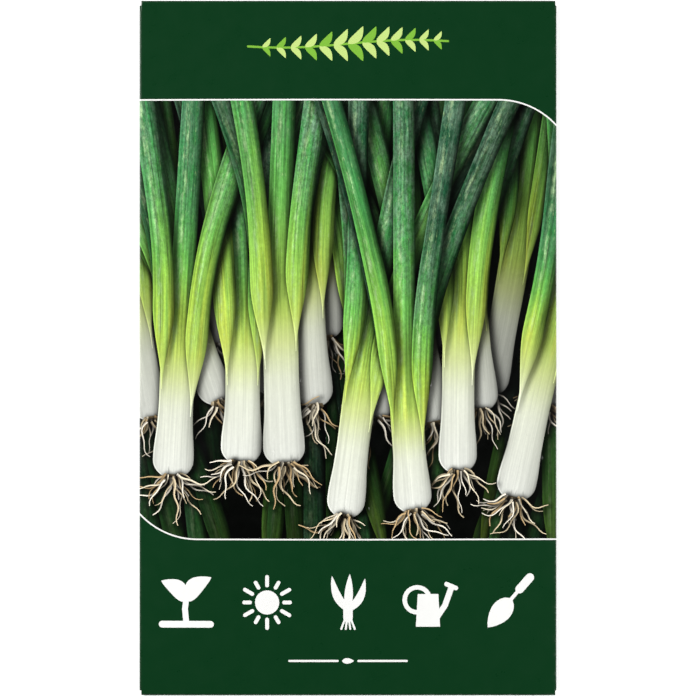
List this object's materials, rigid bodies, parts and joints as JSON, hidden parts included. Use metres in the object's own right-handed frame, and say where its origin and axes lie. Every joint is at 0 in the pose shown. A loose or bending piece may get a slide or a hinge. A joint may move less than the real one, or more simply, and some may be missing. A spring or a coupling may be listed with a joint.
{
  "type": "seed packet",
  "caption": "Flat paper seed packet, folded from one sheet and glued shut on its back, with a printed picture on its front and loose seeds inside.",
  "frame": {"origin": "on the surface that the packet lies on, under the middle of the packet", "axes": "+X across the packet to the right of its front, +Y towards its top edge, +Z out of its front"},
  "size_m": [0.096, 0.16, 0.0048],
  "materials": {
    "printed_paper": "satin",
    "seed_coat": "matte",
    "dried_glue": "satin"
  },
  "bodies": {
    "root": {"paper_sheet": "printed_paper", "seeds": "seed_coat", "side_seam_glue": "dried_glue", "bottom_flap_glue": "dried_glue", "top_flap_glue": "dried_glue"}
  },
  "joints": []
}
